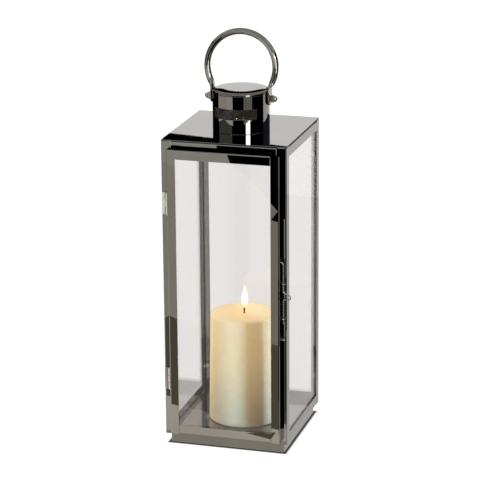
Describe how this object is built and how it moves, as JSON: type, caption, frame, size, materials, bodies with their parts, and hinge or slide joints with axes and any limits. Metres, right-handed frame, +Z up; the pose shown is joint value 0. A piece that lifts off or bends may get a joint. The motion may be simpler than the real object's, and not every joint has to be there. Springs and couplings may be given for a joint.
{
  "type": "candle lantern",
  "caption": "Tall square glazed lantern with a side-hinged front door, a drop-bolt latch, a vented round chimney with a loop handle, and a pillar candle inside.",
  "frame": {"origin": "centre of the case's square footprint, on the surface it stands on", "axes": "+Z up; -Y is the door's face; the hinges are on the -X side and the latch is on the +X side"},
  "size_m": [0.1379, 0.1418, 0.4332],
  "materials": {
    "case_steel": "mirror-polished stainless steel with a dark nickel plate",
    "bright_nickel": "bright nickel-plated steel, satin",
    "glass": "clear flat glass with polished edges",
    "wax": "smooth ivory candle wax, satin",
    "wick": "charred plaited cotton"
  },
  "bodies": {
    "case": {"plinth": "case_steel", "floor_plate": "case_steel", "corner_post_front_left": "case_steel", "corner_post_front_right": "case_steel", "corner_post_back_left": "case_steel", "corner_post_back_right": "case_steel", "bottom_rail_front": "case_steel", "bottom_rail_back": "case_steel", "bottom_rail_left": "case_steel", "bottom_rail_right": "case_steel", "top_rail_front": "case_steel", "top_rail_back": "case_steel", "top_rail_left": "case_steel", "top_rail_right": "case_steel", "roof_plate": "case_steel", "chimney_collar": "case_steel", "chimney_cap": "case_steel", "glass_back": "glass", "glass_left": "glass", "glass_right": "glass", "clip_back_left_low": "bright_nickel", "clip_back_left_high": "bright_nickel", "clip_back_right_low": "bright_nickel", "clip_back_right_high": "bright_nickel", "clip_left_front_low": "bright_nickel", "clip_left_front_high": "bright_nickel", "clip_left_back_low": "bright_nickel", "clip_left_back_high": "bright_nickel", "clip_right_front_low": "bright_nickel", "clip_right_front_high": "bright_nickel", "clip_right_back_low": "bright_nickel", "clip_right_back_high": "bright_nickel", "hinge_leaf_case_lower": "bright_nickel", "hinge_leaf_case_upper": "bright_nickel", "hinge_pin_lower": "bright_nickel", "hinge_pin_upper": "bright_nickel", "latch_guide_lower": "bright_nickel", "latch_guide_upper": "bright_nickel", "handle_screw_left": "bright_nickel", "handle_screw_right": "bright_nickel", "domed_nut_left": "bright_nickel", "domed_nut_right": "bright_nickel"},
    "door": {"door_stile_left": "case_steel", "door_stile_right": "case_steel", "door_rail_top": "case_steel", "door_rail_bottom": "case_steel", "door_glass": "glass", "door_clip_left_low": "bright_nickel", "door_clip_left_high": "bright_nickel", "door_clip_right_low": "bright_nickel", "door_clip_right_high": "bright_nickel", "hinge_leaf_door_lower": "bright_nickel", "hinge_leaf_door_upper": "bright_nickel", "latch_eye": "bright_nickel"},
    "latch": {"latch_bolt": "bright_nickel"},
    "handle": {"handle": "case_steel"},
    "candle": {"candle_wax": "wax", "candle_wick": "wick"}
  },
  "joints": [
    {"name": "door_hinge", "type": "hinge", "parent": "case", "child": "door", "pos_m": [-0.0596, -0.068, 0.168], "axis": [0, 0, -1], "range_deg": [0, 105]},
    {"name": "latch_slide", "type": "slide", "parent": "case", "child": "latch", "axis": [0, 0, -1], "range_m": [0, 0.019]},
    {"name": "handle_swing", "type": "hinge", "parent": "case", "child": "handle", "pos_m": [0, 0, 0.3619], "axis": [1, 0, 0], "range_deg": [-110, 117]},
    {"name": "candle_lift", "type": "slide", "parent": "case", "child": "candle", "axis": [0, 0, 1], "range_m": [0, 0.1]}
  ]
}
